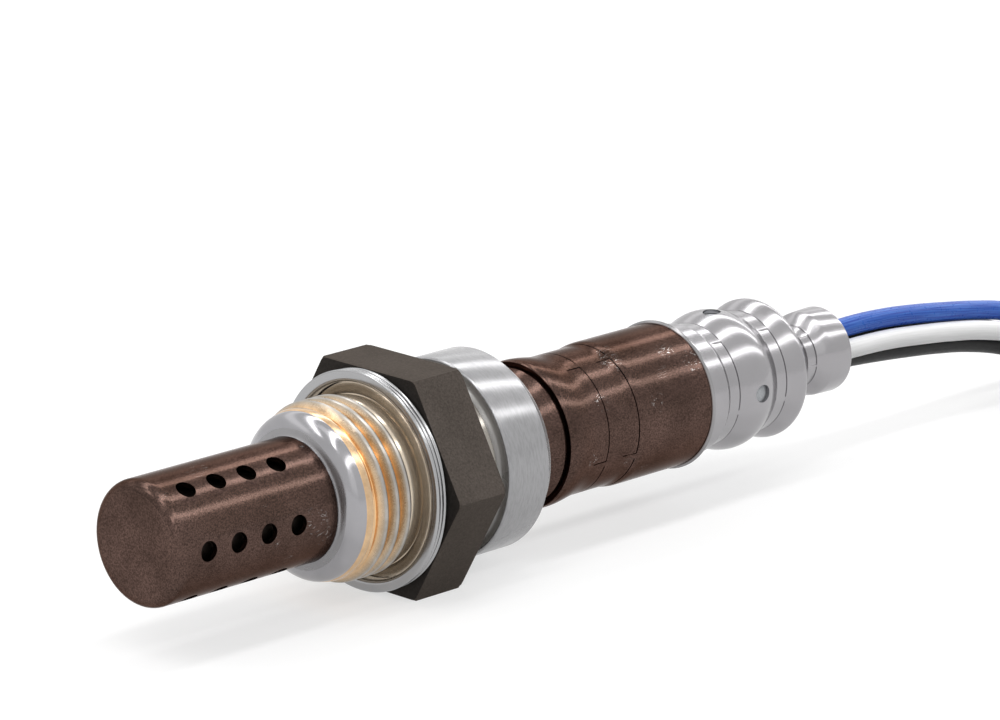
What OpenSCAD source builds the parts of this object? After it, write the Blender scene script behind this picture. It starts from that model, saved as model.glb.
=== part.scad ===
// Heated oxygen sensor with four loose leads, lying on a flat surface.
// X runs along the axis, from the tip in the exhaust to the leads, and Z is up.
// The origin is on the axis, in the plane of the gasket's sealing face.

/* [Thread and nose] */
// Major diameter of the mounting thread
thread_d = 18; // [16.8:0.1:19]
// Length of the full thread
thread_len = 4.2; // [3:0.1:8]
// Length of the cone that starts the thread
lead_in_len = 1.2; // [0.6:0.1:2.5]
// Diameter of the nose where the thread starts
nose_d = 16.7; // [15.4:0.1:17.5]
// Length of the rounded nose, up to the protection cover
nose_len = 2.1; // [1.8:0.1:3.5]
// Diameter of the relief between the thread and the hexagon
relief_d = 17.2; // [15.8:0.1:17.8]
// Length of the relief in front of the sealing face
relief_len = 1.4; // [0.8:0.1:3]

/* [Hexagon, waist and collar] */
// Width across the flats of the hexagon
hex_af = 22; // [21:0.5:25]
// Length of the hexagon
hex_len = 6.2; // [4:0.1:9]
// Size of the cut on the hexagon's rear corners
corner_cut = 0.45; // [0.2:0.05:0.8]
// Diameter of the waist behind the hexagon
waist_d = 18.2; // [17.4:0.1:18.8]
// Length of the waist
waist_len = 2.9; // [2:0.1:5]
// Diameter of the collar
collar_d = 20.3; // [19.8:0.1:21.5]
// Length of the collar's cylinder
collar_len = 5.5; // [4.5:0.1:8]
// Length of the bevel where the collar is rolled in
bevel_len = 1.2; // [0.6:0.1:1.6]
// Drop in radius over that bevel
bevel_drop = 1; // [0.4:0.1:1.4]

/* [Gasket] */
// Thickness of the folded gasket
gasket_t = 1.4; // [1.3:0.05:2.2]
// Width of the gasket's ring, whose outer edge is flush with the hexagon's flats
gasket_w = 1.25; // [1.1:0.05:1.4]
// Thickness of the gasket's sheet metal
gasket_sheet = 0.35; // [0.25:0.05:0.4]

/* [Outer protection cover] */
// Diameter of the outer protection cover
cover_d = 12.4; // [11.8:0.1:13]
// Length of the cover in front of the nose
cover_len = 19.7; // [17.6:0.1:30]
// Wall of the cover
cover_wall = 0.5; // [0.3:0.05:0.7]
// Rounding of the cover's tip
tip_round = 1.2; // [0.7:0.1:2]
// Diameter of the gas holes
hole_d = 2; // [1:0.1:2.6]
// Distance from the tip to the first ring of gas holes
first_hole = 3.65; // [3:0.05:5]
// Distance between the rings of gas holes
hole_pitch = 3.8; // [3:0.1:4.1]
// Gas holes along the cover
holes_along = 4; // [2:1:4]
// Gas holes round the cover
holes_round = 6; // [4:1:8]

/* [Inner protection cover] */
// Diameter of the inner protection cover
inner_cover_d = 9.8; // [9.4:0.1:10.4]
// Wall of the inner cover
inner_cover_wall = 0.4; // [0.3:0.05:0.6]
// Space between the two tips
tip_space = 1.2; // [0.6:0.1:2.5]
// Diameter of the inner cover's gas holes
inner_hole_d = 1.5; // [0.8:0.1:2]

/* [Sensing element and heater] */
// Diameter of the ceramic finger
finger_d = 6.4; // [5.8:0.1:7]
// Reach of the finger in front of its seat
finger_len = 22.5; // [18:0.1:22.8]
// Bore of the finger
finger_bore = 4; // [3.8:0.1:4.4]
// Diameter of the element behind its flange
stem_d = 8.2; // [7.6:0.1:8.8]
// Length of the element's flange
flange_len = 4; // [2.5:0.1:4.6]
// Reach of the element behind the collar's flange
stem_reach = 4.6; // [3.6:0.1:5.2]
// Diameter of the heater rod
heater_d = 3; // [2.4:0.1:3.3]

/* [Packing] */
// Bore of the housing that holds the packing
packing_d = 12.6; // [12:0.1:13.2]
// Depth of the element's seat in front of the sealing face
seat_depth = 2; // [1:0.1:2.4]
// Thickness of the washer under the element
washer_t = 0.4; // [0.3:0.05:0.8]
// Length of the talc packing
talc_len = 6.5; // [4:0.1:7.5]
// Thickness of the ring behind the ceramic bush
ring_t = 1.6; // [0.8:0.1:2]

/* [Inner and outer sleeve] */
// Diameter of the inner sleeve behind the collar
neck_d = 12.5; // [12:0.1:13]
// Length of that neck, from the collar to the outer sleeve
neck_len = 4.6; // [4:0.1:6]
// Wall of the inner sleeve
neck_wall = 0.45; // [0.3:0.05:0.6]
// Diameter of the outer sleeve's rear half
sleeve_d = 14.86; // [14.6:0.02:15.4]
// Length of the outer sleeve
sleeve_len = 20.7; // [18.5:0.1:24]
// Wall of the outer sleeve
sleeve_wall = 0.5; // [0.4:0.05:0.6]
// Drop in radius of the outer sleeve's crimped front half
sleeve_drop = 0.26; // [0.2:0.02:0.3]
// Rise in radius at the bead round the outer sleeve's rear end
rim_flare = 0.25; // [0.1:0.01:0.4]
// Distance from the sleeve's front to its first crimp line
crimp_1 = 5.7; // [5:0.1:6.2]
// Distance from the sleeve's front to its second crimp line
crimp_2 = 9.9; // [9.4:0.1:10.4]

/* [Rear cover] */
// Wall of the rear cover
rear_wall = 0.4; // [0.3:0.05:0.45]
// Length of the rear cover outside the outer sleeve
rear_len = 24.2; // [23.4:0.1:26]
// Length of the rear cover inside the outer sleeve
rear_inset = 9; // [8:0.1:9.2]
// Drop in radius at the crimps of the rear cover
pinch_drop = 0.36; // [0.25:0.01:0.45]
// Rise in radius at the two bulges of the rear cover
bulge_rise = 0.5; // [0.4:0.01:0.6]
// Rise in radius from the cover's thin neck to its end cup
cup_rise = 1.1; // [0.8:0.05:1.2]
// Diameter of the breather windows
window_d = 1.85; // [1.2:0.05:2.4]
// Breather windows round the cover
windows = 4; // [2:1:6]
// Thickness of the filter behind the windows
filter_t = 0.7; // [0.4:0.05:0.9]

/* [Crimp marks] */
// Crimping jaws round the outer sleeve
sleeve_jaws = 4; // [3:1:8]
// Crimping jaws round each pinch of the rear cover
rear_jaws = 5; // [3:1:8]
// Crimping jaws round the rear cover's thin neck
neck_jaws = 6; // [3:1:8]
// Width of the lines that the crimping jaws leave
mark_w = 0.14; // [0.08:0.01:0.2]
// Depth of those lines
mark_depth = 0.1; // [0.05:0.01:0.15]

/* [Inner contacts and ceramic holder] */
// Sheet metal of the contacts and terminals
contact_t = 0.3; // [0.2:0.05:0.4]
// Length of the ceramic holder
holder_len = 13; // [12:0.1:13.5]
// Diameter of the ceramic holder
holder_d = 11; // [10.4:0.1:11.4]
// Depth of the holder's sockets
socket_depth = 4; // [3:0.1:4.8]
// Diameter of the terminals' crimped barrels
barrel_d = 1.8; // [1.4:0.1:2]
// Length of the terminals' crimped barrels
barrel_len = 5; // [3.5:0.1:6]

/* [Leads] */
// Diameter of one lead
lead_d = 2.1; // [1.8:0.05:2.15]
// Distance between neighbouring leads in the grommet
lead_pitch = 2.3; // [2.25:0.05:2.5]
// Length of the hank's straight runs
hank_run = 42; // [32:1:42]
// Bend radius of the innermost lead in the hank
fold_r = 6.3; // [6.3:0.1:8]
// Thickness of the hank's tie
tie_t = 0.4; // [0.2:0.05:0.8]
// Width of the hank's tie
tie_w = 5; // [3:0.5:10]

/* [Hidden] */
$fn = 96;
curve_steps = 8;
fit_gap = 0.03;
play = 0.13;
cut_over = 0.5;

// Stations along the axis, from the sealing face at zero
thread_x = -(relief_len + thread_len);
nose_x = thread_x - lead_in_len;
lip_x = nose_x - nose_len;
tip_x = lip_x - cover_len;
hex_x = gasket_t;
hex_end = hex_x + hex_len;
collar_x = hex_end + waist_len;
bevel_x = collar_x + collar_len;
collar_end = bevel_x + bevel_len;
sleeve_x = collar_end + neck_len;
sleeve_end = sleeve_x + sleeve_len;
rear_x = sleeve_end - rear_inset;
rear_end = sleeve_end + rear_len;

// Housing
nose_r = nose_d / 2;
gasket_r = hex_af / 2;
gasket_inner_r = gasket_r - gasket_w;
relief_fillet = min(gasket_inner_r - relief_d / 2 - 2 * fit_gap, gasket_t - 0.1);
waist_fillet = 0.6;
collar_round = 0.4;
thread_fall = 0.4;
lip_depth = 0.9;
lip_round = 0.7;
lip_r = cover_d / 2 + fit_gap;
rolled_len = 1.85;
neck_r = neck_d / 2;
collar_flange_x = collar_end - rolled_len - neck_wall;
collar_flange_r = neck_r + 2;
packing_r = packing_d / 2;
throat_r = inner_cover_d / 2 - inner_cover_wall + fit_gap;

// Protection covers
flange_front = lip_x + lip_depth;
flange_mid = flange_front + cover_wall;
flange_back = flange_mid + inner_cover_wall;
cover_flange_r = cover_d / 2 + 0.6;
inner_tip_x = tip_x + cover_wall + tip_space;
hole_angle = 30;
inner_rings = [2.6, 6.4, 14];
inner_round = 6;

// Sensing element and packing, from the seat backwards
seat_x = -seat_depth;
element_x = seat_x + washer_t;
finger_tip_x = element_x - finger_len;
talc_x = element_x + flange_len;
bush_x = talc_x + talc_len;
ring_x = collar_flange_x - ring_t;
stem_end = collar_flange_x + stem_reach;
finger_taper = 2.4;
bore_floor = 1.1;
heater_tip_gap = 1;

// Outer sleeve: lip, crimped half, rear half and rim
sleeve_r = sleeve_d / 2;
crimped_r = sleeve_r - sleeve_drop;
sleeve_lip_r = sleeve_r + 0.02;
sleeve_lip_top = sleeve_r + 0.14;
crimp_taper = 1;
rim_w = 0.3;
sleeve_outline = concat(
    [[sleeve_x, sleeve_lip_r]],
    ease([sleeve_x + 0.15, sleeve_lip_r + 0.06], [sleeve_x + 0.8, sleeve_lip_top]),
    ease([sleeve_x + 0.9, sleeve_lip_top], [sleeve_x + crimp_1 - crimp_taper, crimped_r]),
    ease([sleeve_x + crimp_2 - crimp_taper, crimped_r], [sleeve_x + crimp_2 + crimp_taper, sleeve_r]),
    [[sleeve_end - rim_w, sleeve_r]]
);
rim_outline = [
    [sleeve_end - rim_w / 2, sleeve_r + rim_flare], [sleeve_end - 0.06, sleeve_r + rim_flare],
    [sleeve_end, sleeve_r + rim_flare / 2]
];

// Inner sleeve: flange, neck, flare under the outer sleeve's lip, crimped part and spigot
neck_outer = collar_flange_x + neck_wall;
flare_len = 1.7;
spigot_x = sleeve_x + crimp_2 + crimp_taper + 0.2;
spigot_end = rear_x + 3.8;
spigot_r = sleeve_r - sleeve_wall - play - rear_wall - fit_gap;
nested_outline = inset(
    [for (p = sleeve_outline) if (p[0] <= sleeve_x + crimp_2 - crimp_taper) p],
    sleeve_wall + fit_gap
);
crimped_bore_r = crimped_r - sleeve_wall - fit_gap - neck_wall;
neck_outline = concat(
    [[neck_outer, collar_flange_r], [neck_outer, neck_r]],
    ease([sleeve_x - flare_len, neck_r], [sleeve_x - 0.1, nested_outline[0][1]]),
    nested_outline,
    [[spigot_x - 0.4, crimped_r - sleeve_wall - fit_gap]],
    [[spigot_x, spigot_r], [spigot_end, spigot_r]]
);

// Rear cover: straight part, two crimped rings with a bulge behind each, thin neck and end cup
rear_r = sleeve_r - sleeve_wall - play;
pinch_r = rear_r - pinch_drop;
bulge_r = rear_r + bulge_rise;
band_len = 1.45;
shoulder_len = 0.7;
ring_1 = sleeve_end + 4.94;
ring_2 = ring_1 + 7.03;
ring_3 = rear_end - 4.2;
lead_circle = lead_pitch / sqrt(2);
rubber_wall = 0.28;
thin_r = lead_circle + lead_d / 2 + rubber_wall + rear_wall;
cup_r = thin_r + cup_rise;
window_x = ring_1 + 2.56;
bulge_2 = ring_2 + 1.8;
rear_outline = concat(
    [[rear_x, rear_r]],
    ease([ring_1 - band_len - shoulder_len, rear_r], [ring_1 - band_len, pinch_r]),
    arch(ring_1, ring_2 - band_len, pinch_r, bulge_r),
    swell([ring_2, pinch_r], [bulge_2, bulge_r]),
    crown([bulge_2 + 0.15, bulge_r], [bulge_2 + 0.6, bulge_r - 0.2]),
    ease_out([ring_3 - 2.3, thin_r + 0.32], [ring_3 - 1.3, thin_r]),
    swell([ring_3, thin_r], [ring_3 + 1.5, cup_r]),
    [[rear_end, cup_r + 0.07]]
);

// Where the first jaw of each ring starts, the angle between jaws, and the length of their side marks
sleeve_turn = 22.5;
rear_turn = 33;
neck_turn = 36;
jaw_gap = 5;
sleeve_tick = 1.8;
rear_tick = band_len - 0.05;
neck_tick = 1.25;

// Filter and grommet inside the rear cover
filter_x = ring_1 + 0.2;
filter_end = ring_2 - band_len - 0.2;
filter_edge_r = pinch_r - rear_wall - fit_gap;
filter_top_r = bulge_r - rear_wall - 0.1;
grommet_x = ring_1 - 2.4;
grommet_end = rear_end - 0.4;
grommet_outline = concat(
    [[grommet_x, filter_edge_r], [ring_1 + 0.15, filter_edge_r]],
    arch(filter_x, filter_end, filter_edge_r - filter_t - fit_gap, filter_top_r - filter_t - fit_gap),
    [[filter_end + 0.05, filter_edge_r]],
    [for (p = inset(rear_outline, rear_wall + fit_gap)) if (p[0] > ring_2 - 0.1) p]
);

// Ceramic holder, contacts and terminals
holder_x = stem_end + 1.5;
holder_end = holder_x + holder_len;
holder_r = holder_d / 2;
socket_d = barrel_d - 0.4;
centre_depth = holder_len - socket_depth - 2;
contact_r = stem_d / 2 + fit_gap;
probe_r = finger_bore / 2 - fit_gap;
probe_x = ring_x - 4;
heater_end = holder_x + centre_depth - 0.3;
band_x = sleeve_x + crimp_1 + 0.2;
band_end = sleeve_x + crimp_2 - crimp_taper - 0.3;
lead_start = grommet_x - 1.2;
barrel_x = lead_start - barrel_len;

// The leads sit in a ring in this order: blue above, white towards -Y, black below, black at +Y
lead_turn = 10.6;
lead_angles = [lead_turn, lead_turn + 90, lead_turn + 180, lead_turn + 270];

// The surface that the hexagon's lower flat lies on, and the hank that rests on its tie there
floor_z = -hex_af / 2;
hank_z = floor_z + tie_t;
hank_layers = 2;
hank_h = hank_layers * lead_d;
hank_x = 131.4;
hank_inner = fold_r - lead_d / 2;
hank_outer = fold_r + 3.5 * lead_d;
tube_sides = 8;

// Routes of the leads from the terminals to the hank
blue_route = [
    [43.9, -0.3, 1.6], [50, -0.3, 1.6], [56, -0.3, 1.6], [62, -0.3, 1.6], [66.7, -0.3, 1.6],
    [71, -0.3, 1.7], [76, -0.3, 1.5], [81, -0.3, 1], [86, -0.3, 0.3], [91, -0.3, -0.5],
    [96, -0.5, -1.5], [101, -1.2, -3.1], [106, -2.6, -5.3], [111, -4.2, -7.5], [115, -5.4, -8.9],
    [118.4, -6.3, -9.5]
];
white_route = [
    [43.9, -1.6, -0.3], [50, -1.6, -0.3], [56, -1.6, -0.3], [62, -1.6, -0.3], [66.7, -1.6, -0.3],
    [71, -1.6, -0.3], [76, -1.6, -0.5], [81, -1.6, -1], [86, -1.7, -1.6], [91, -1.9, -2.4],
    [96, -2.6, -3.6], [101, -4.1, -5.3], [106, -6.2, -7.2], [111, -8.3, -8.7], [116, -10.1, -9.4],
    [121.8, -11.6, -9.5]
];
black_low_route = [
    [43.9, 0.3, -1.6], [50, 0.3, -1.6], [56, 0.3, -1.6], [62, 0.3, -1.6], [66.7, 0.3, -1.6],
    [71, 0.3, -1.9], [76, 0.3, -2.3], [81, 0.3, -2.8], [86, 0.3, -3.4], [91, 0.2, -4.2],
    [96, -0.2, -5.4], [101, -1.4, -7.1], [106, -3.5, -8.7], [111, -5.9, -9.5], [116, -8, -9.5],
    [119.6, -9, -9.5]
];
black_high_route = [
    [43.9, 1.6, 0.3], [50, 1.6, 0.3], [56, 1.6, 0.3], [62, 1.6, 0.3], [66.7, 1.6, 0.3],
    [71, 1.6, 0], [76, 1.6, -0.5], [81, 1.6, -1.1], [86, 1.7, -1.8], [91, 1.9, -2.7],
    [96, 2, -4], [101, 1.7, -5.7], [106, 0.6, -7.6], [111, -1.3, -9], [114.5, -2.7, -9.5],
    [117.5, -3.7, -9.5]
];

// Outline points are [x, radius] pairs. This one runs from a to b with a level start and end.
function ease(a, b) = [for (i = [0 : curve_steps]) let (t = i / curve_steps)
    [a[0] + (b[0] - a[0]) * t, a[1] + (b[1] - a[1]) * (1 - cos(180 * t)) / 2]];

// The second half of such a curve: a slope that becomes level at b
function ease_out(a, b) = [for (i = [0 : curve_steps]) let (t = i / curve_steps)
    [a[0] + (b[0] - a[0]) * t, b[1] + (a[1] - b[1]) * pow(1 - t, 2)]];

// A curve that leaves a at a slope and swells until it is level at b
function swell(a, b) = [for (i = [0 : curve_steps]) let (t = i / curve_steps)
    [a[0] + (b[0] - a[0]) * t, a[1] + (b[1] - a[1]) * (1 - pow(1 - t, 1.5))]];

// A quarter of an ellipse, which leaves a straight out from the axis and is level at b
function quarter(a, b) = [for (i = [0 : curve_steps]) let (t = 90 * i / curve_steps)
    [b[0] - (b[0] - a[0]) * cos(t), a[1] + (b[1] - a[1]) * sin(t)]];

// A curve that is level at a and falls ever faster to b
function crown(a, b) = [for (i = [0 : curve_steps]) let (t = i / curve_steps)
    [a[0] + (b[0] - a[0]) * t, a[1] + (b[1] - a[1]) * pow(t, 2)]];

// A half wave between two stations, from the edge radius up to the top radius and back
function arch(x0, x1, edge_r, top_r) = [for (i = [0 : 2 * curve_steps]) let (t = i / curve_steps / 2)
    [x0 + (x1 - x0) * t, edge_r + (top_r - edge_r) * sin(180 * t)]];

// A round edge: points about a centre, between two angles that count from +X towards the outside
function round_edge(x, r, size, from, to) = [for (i = [0 : curve_steps])
    let (a = from + (to - from) * i / curve_steps) [x + size * cos(a), r + size * sin(a)]];

// The same outline, moved towards the axis by t along its own normals
function inset(pts, t) = [for (i = [0 : len(pts) - 1])
    let (
        before = pts[max(i - 1, 0)],
        after = pts[min(i + 1, len(pts) - 1)],
        along = after - before
    ) pts[i] + t / norm(along) * [along[1], -along[0]]];

function reversed(pts) = [for (i = [len(pts) - 1 : -1 : 0]) pts[i]];

// A closed outline of [x, radius] points turned round the axis
module turned(pts) {
    rotate([0, 90, 0]) rotate_extrude() polygon([for (p = pts) [p[1], p[0]]]);
}

// A shell of sheet metal inside an outline
module shell(pts, wall) {
    turned(concat(pts, reversed(inset(pts, wall))));
}

// A plain ring between two stations
module ring(x0, x1, inner_r, outer_r) {
    turned([[x0, inner_r], [x0, outer_r], [x1, outer_r], [x1, inner_r]]);
}

// Rings of radial holes through a wall whose outside has radius r
module radial_holes(stations, d, count, turn, r, wall) {
    for (x = stations, i = [0 : count - 1])
        translate([x, 0, 0]) rotate([turn + 360 * i / count, 0, 0])
            translate([0, 0, r - wall - cut_over]) cylinder(d = d, h = wall + 2 * cut_over, $fn = 32);
}

// Part of a groove: the skin of an outline between two stations, turned through some degrees
module skin_cut(outline, x0, x1, from, sweep) {
    r0 = lookup(x0, outline);
    r1 = lookup(x1, outline);
    rotate([from + 180, 0, 0]) rotate([0, 90, 0]) rotate_extrude(angle = sweep)
        polygon([
            [r0 + cut_over, x0], [r1 + cut_over, x1],
            [r1 - mark_depth, x1], [r0 - mark_depth, x0]
        ]);
}

// The lines that a ring of jaws leaves: an arc behind each jaw, and end lines on every second jaw
module jaw_marks(outline, x, jaws, first, gap, tick) {
    each_jaw = 360 / jaws;
    line = 180 / PI * mark_w / lookup(x, outline);
    for (i = [0 : jaws - 1]) {
        start = first + i * each_jaw + gap / 2;
        sweep = each_jaw - gap;
        skin_cut(outline, x - mark_w / 2, x + mark_w / 2, start, sweep);
        if (i % 2 == 0 && i < jaws - 1)
            for (a = [start, start + sweep])
                skin_cut(outline, x - tick, x + mark_w / 4, a - line / 2, line);
    }
}

// Puts a piece at the place of one lead in the ring of four
module at_lead(i) {
    rotate([lead_angles[i], 0, 0]) translate([0, 0, lead_circle]) rotate([-lead_angles[i], 0, 0])
        children();
}

// A rod along X
module rod(x0, x1, d) {
    translate([x0, 0, 0]) rotate([0, 90, 0]) cylinder(d = d, h = x1 - x0, $fn = 32);
}

// A round tube swept along a route: one ring of corners at each point of the route
module swept(route, d) {
    last = len(route) - 1;
    rings = [for (i = [0 : last])
        let (
            along = route[min(i + 1, last)] - route[max(i - 1, 0)],
            side = cross([0, 0, 1], along),
            side_unit = side / norm(side),
            up = cross(along, side),
            up_unit = up / norm(up)
        )
        for (k = [0 : tube_sides - 1])
            let (a = 360 * (k + 0.5) / tube_sides)
            route[i] + d / 2 * (cos(a) * side_unit + sin(a) * up_unit)];
    walls = [for (i = [0 : last - 1], k = [0 : tube_sides - 1])
        let (
            a = i * tube_sides + k,
            b = i * tube_sides + (k + 1) % tube_sides
        ) [a, a + tube_sides, b + tube_sides, b]];
    start_cap = [for (k = [0 : tube_sides - 1]) k];
    end_cap = [for (k = [tube_sides - 1 : -1 : 0]) last * tube_sides + k];
    polyhedron(points = rings, faces = concat([start_cap], walls, [end_cap]));
}

// A flat outline with straight runs and round ends
module hank_outline(half_width) {
    translate([hank_x, -half_width]) square([hank_run, 2 * half_width]);
    for (x = [hank_x, hank_x + hank_run]) translate([x, 0]) circle(r = half_width);
}

// A flat rectangle with round corners, centred
module soft_rectangle(w, h, r) {
    square([w - 2 * r, h], center = true);
    square([w, h - 2 * r], center = true);
    for (y = [-1, 1], z = [-1, 1]) translate([y * (w / 2 - r), z * (h / 2 - r)]) circle(r = r, $fn = 32);
}

// The hexagon with its corners cut at both faces
module hexagon() {
    corner_r = hex_af / sqrt(3);
    intersection() {
        translate([hex_x, 0, 0]) rotate([0, 90, 0]) linear_extrude(hex_len)
            rotate(30) circle(r = corner_r, $fn = 6);
        turned([
            [hex_x, 0], [hex_x, corner_r - 0.2], [hex_x + 0.15, corner_r],
            [hex_end - corner_cut, corner_r], [hex_end, corner_r - corner_cut], [hex_end, 0]
        ]);
    }
}

// The turned steel body: rolled nose, threaded shank, relief, hexagon, waist and rolled collar
module housing() color([0.62, 0.61, 0.6]) {
    difference() {
        union() {
            hexagon();
            turned(concat(
                [[lip_x + lip_round, 0]],
                round_edge(lip_x + lip_round, lip_r + lip_round, lip_round, 270, 180),
                quarter([lip_x, lip_r + lip_round], [nose_x, nose_r]),
                [[thread_x, thread_d / 2], [-relief_len, thread_d / 2]],
                [[thread_fall - relief_len, relief_d / 2]],
                round_edge(hex_x - relief_fillet, relief_d / 2 + relief_fillet, relief_fillet, -90, 0),
                [[hex_x, waist_d / 2], [hex_end, waist_d / 2 + waist_fillet]],
                round_edge(hex_end + waist_fillet, waist_d / 2 + waist_fillet, waist_fillet, 180, 270),
                round_edge(collar_x - waist_fillet, waist_d / 2 + waist_fillet, waist_fillet, -90, 0),
                round_edge(collar_x + collar_round, collar_d / 2 - collar_round, collar_round, 180, 90),
                [[bevel_x, collar_d / 2], [collar_end, collar_d / 2 - bevel_drop], [collar_end, 0]]
            ));
        }
        turned([
            [lip_x - cut_over, 0], [lip_x - cut_over, lip_r], [flange_front, lip_r],
            [flange_front, cover_flange_r + fit_gap], [flange_back, cover_flange_r + fit_gap],
            [flange_back, throat_r], [seat_x, throat_r], [seat_x, packing_r],
            [collar_flange_x, packing_r], [collar_flange_x, collar_flange_r + fit_gap],
            [neck_outer, collar_flange_r + fit_gap], [neck_outer, neck_r + fit_gap],
            [collar_end + cut_over, neck_r + fit_gap], [collar_end + cut_over, 0]
        ]);
    }
}

// One strip of sheet folded three times: two leaves that close outwards and a rear leaf that closes inwards
module gasket() color([0.78, 0.78, 0.78]) {
    od = gasket_r;
    id = gasket_inner_r;
    s = gasket_sheet;
    slot = (gasket_t - 3 * s) / 2;
    front_slot = s + slot;
    rear_slot = 2 * s + slot;
    turned(concat(
        round_edge(s, id + s, s, 270, 180),
        [[0, od - s]],
        round_edge(s, od - s, s, 180, 90),
        round_edge(front_slot, od - s, s, 90, 0),
        [[rear_slot, id + s], [rear_slot + slot, id + s]],
        [[rear_slot + slot, od - 0.1], [gasket_t, od - 0.2], [gasket_t, id + 0.1]],
        [[gasket_t - 0.1, id], [front_slot + 0.1, id], [front_slot, id + 0.1]],
        [[front_slot, od - s], [s, od - s], [s, id]]
    ));
}

// Deep-drawn cup with gas holes and a flange that the nose is rolled over
module outer_protection_cover() color([0.33, 0.24, 0.2]) {
    r = cover_d / 2;
    difference() {
        shell(concat(
            [[tip_x, 0]],
            round_edge(tip_x + tip_round, r - tip_round, tip_round, 180, 90),
            [[flange_front, r], [flange_front, cover_flange_r]]
        ), cover_wall);
        radial_holes(
            [for (i = [0 : holes_along - 1]) tip_x + first_hole + i * hole_pitch],
            hole_d, holes_round, hole_angle, r, cover_wall
        );
    }
}

// Second cup inside the first, with smaller holes that face its wall
module inner_protection_cover() color([0.3, 0.27, 0.25]) {
    r = inner_cover_d / 2;
    edge = 1;
    difference() {
        shell(concat(
            [[inner_tip_x, 0]],
            round_edge(inner_tip_x + edge, r - edge, edge, 180, 90),
            [[flange_mid, r], [flange_mid, cover_flange_r]]
        ), inner_cover_wall);
        radial_holes(
            [for (x = inner_rings) inner_tip_x + x],
            inner_hole_d, inner_round, 0, r, inner_cover_wall
        );
    }
}

// Ceramic finger, closed at the tip, with the flange that seats in the housing
module sensing_element() color([0.93, 0.92, 0.88]) {
    r = finger_d / 2;
    bore = finger_bore / 2;
    flange_r = packing_r - fit_gap;
    difference() {
        turned(concat(
            [[finger_tip_x, 0]],
            round_edge(finger_tip_x + r, 0, r, 180, 90),
            [[element_x - finger_taper, r], [element_x - 0.2, throat_r - 0.1], [element_x, throat_r - 0.1]],
            [[element_x, flange_r], [talc_x, flange_r], [talc_x, stem_d / 2]],
            [[stem_end, stem_d / 2], [stem_end, 0]]
        ));
        turned(concat(
            [[finger_tip_x + bore_floor, 0]],
            round_edge(finger_tip_x + bore_floor + bore, 0, bore, 180, 90),
            [[stem_end + cut_over, bore], [stem_end + cut_over, 0]]
        ));
    }
}

module seat_washer() color([0.7, 0.7, 0.7])
    ring(seat_x, element_x, throat_r, packing_r - fit_gap);

module talc_packing() color([0.88, 0.87, 0.82])
    ring(talc_x, bush_x, stem_d / 2 + fit_gap, packing_r - fit_gap);

module ceramic_bush() color([0.95, 0.94, 0.9])
    ring(bush_x, ring_x, stem_d / 2 + fit_gap, packing_r - fit_gap);

module packing_ring() color([0.72, 0.72, 0.72])
    ring(ring_x, collar_flange_x, stem_d / 2 + 2 * fit_gap, packing_r - fit_gap);

// Ceramic heater: a rod with a cone tip, held in the inner contact
module heater_rod() color([0.9, 0.9, 0.92]) {
    r = heater_d / 2;
    tip = finger_tip_x + bore_floor + heater_tip_gap;
    turned([[tip, 0], [tip, r / 2], [tip + r, r], [heater_end, r], [heater_end, 0]]);
}

// Spring tube between the heater and the finger's bore, with a slot along its underside
module inner_contact() color([0.75, 0.72, 0.66]) {
    difference() {
        ring(probe_x, holder_x + centre_depth - 1, heater_d / 2 + fit_gap, probe_r);
        translate([probe_x - cut_over, -0.4, -finger_bore])
            cube([holder_len + holder_x - probe_x, 0.8, finger_bore]);
    }
}

// Band that grips the outside of the element's stem and backs on the holder
module outer_contact() color([0.75, 0.72, 0.66]) {
    difference() {
        ring(stem_end - stem_reach + 1, holder_x, contact_r, contact_r + contact_t);
        translate([stem_end - stem_reach, -0.5, 0])
            cube([holder_len, 1, stem_d]);
    }
}

// Ceramic block with a centre bore for the heater and four sockets for the terminals
module ceramic_holder() color([0.96, 0.95, 0.92]) {
    difference() {
        ring(holder_x, holder_end, 0, holder_r);
        rod(holder_x - cut_over, holder_x + centre_depth, finger_bore);
        for (i = [0 : 3]) at_lead(i) rod(holder_end - socket_depth, holder_end + cut_over, socket_d);
    }
}

// Split spring band that centres the holder in the inner sleeve
module holder_band() color([0.7, 0.7, 0.72]) {
    rotate([0, 90, 0]) rotate_extrude(angle = 330)
        translate([holder_r + fit_gap, band_x])
            square([crimped_bore_r - fit_gap - holder_r - fit_gap, band_end - band_x]);
}

// Drawn tube: flange under the collar's rolled edge, neck, flare, and a spigot for the rear cover
module inner_sleeve() color([0.36, 0.26, 0.21])
    shell(neck_outline, neck_wall);

// Drawn tube crimped onto the inner sleeve by two rings of four jaws
module outer_sleeve() color([0.36, 0.26, 0.21]) {
    difference() {
        turned(concat(
            sleeve_outline, rim_outline,
            reversed(inset(concat(sleeve_outline, [[sleeve_end, sleeve_r]]), sleeve_wall))
        ));
        for (x = [crimp_1, crimp_2])
            jaw_marks(sleeve_outline, sleeve_x + x, sleeve_jaws, sleeve_turn, jaw_gap, sleeve_tick);
    }
}

// Rear cover, crimped onto the grommet by three rings of jaws
module rear_cover() color([0.68, 0.67, 0.68]) {
    difference() {
        shell(rear_outline, rear_wall);
        radial_holes([window_x], window_d, windows, 0, bulge_r, rear_wall);
        for (x = [ring_1, ring_2])
            jaw_marks(rear_outline, x, rear_jaws, rear_turn, jaw_gap, rear_tick);
        jaw_marks(rear_outline, ring_3, neck_jaws, neck_turn, jaw_gap, neck_tick);
    }
}

// Breathable filter behind the windows
module filter_sleeve() color([0.9, 0.91, 0.92]) {
    turned(concat(
        arch(filter_x, filter_end, filter_edge_r, filter_top_r),
        reversed(arch(filter_x, filter_end, filter_edge_r - filter_t, filter_top_r - filter_t))
    ));
}

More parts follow.
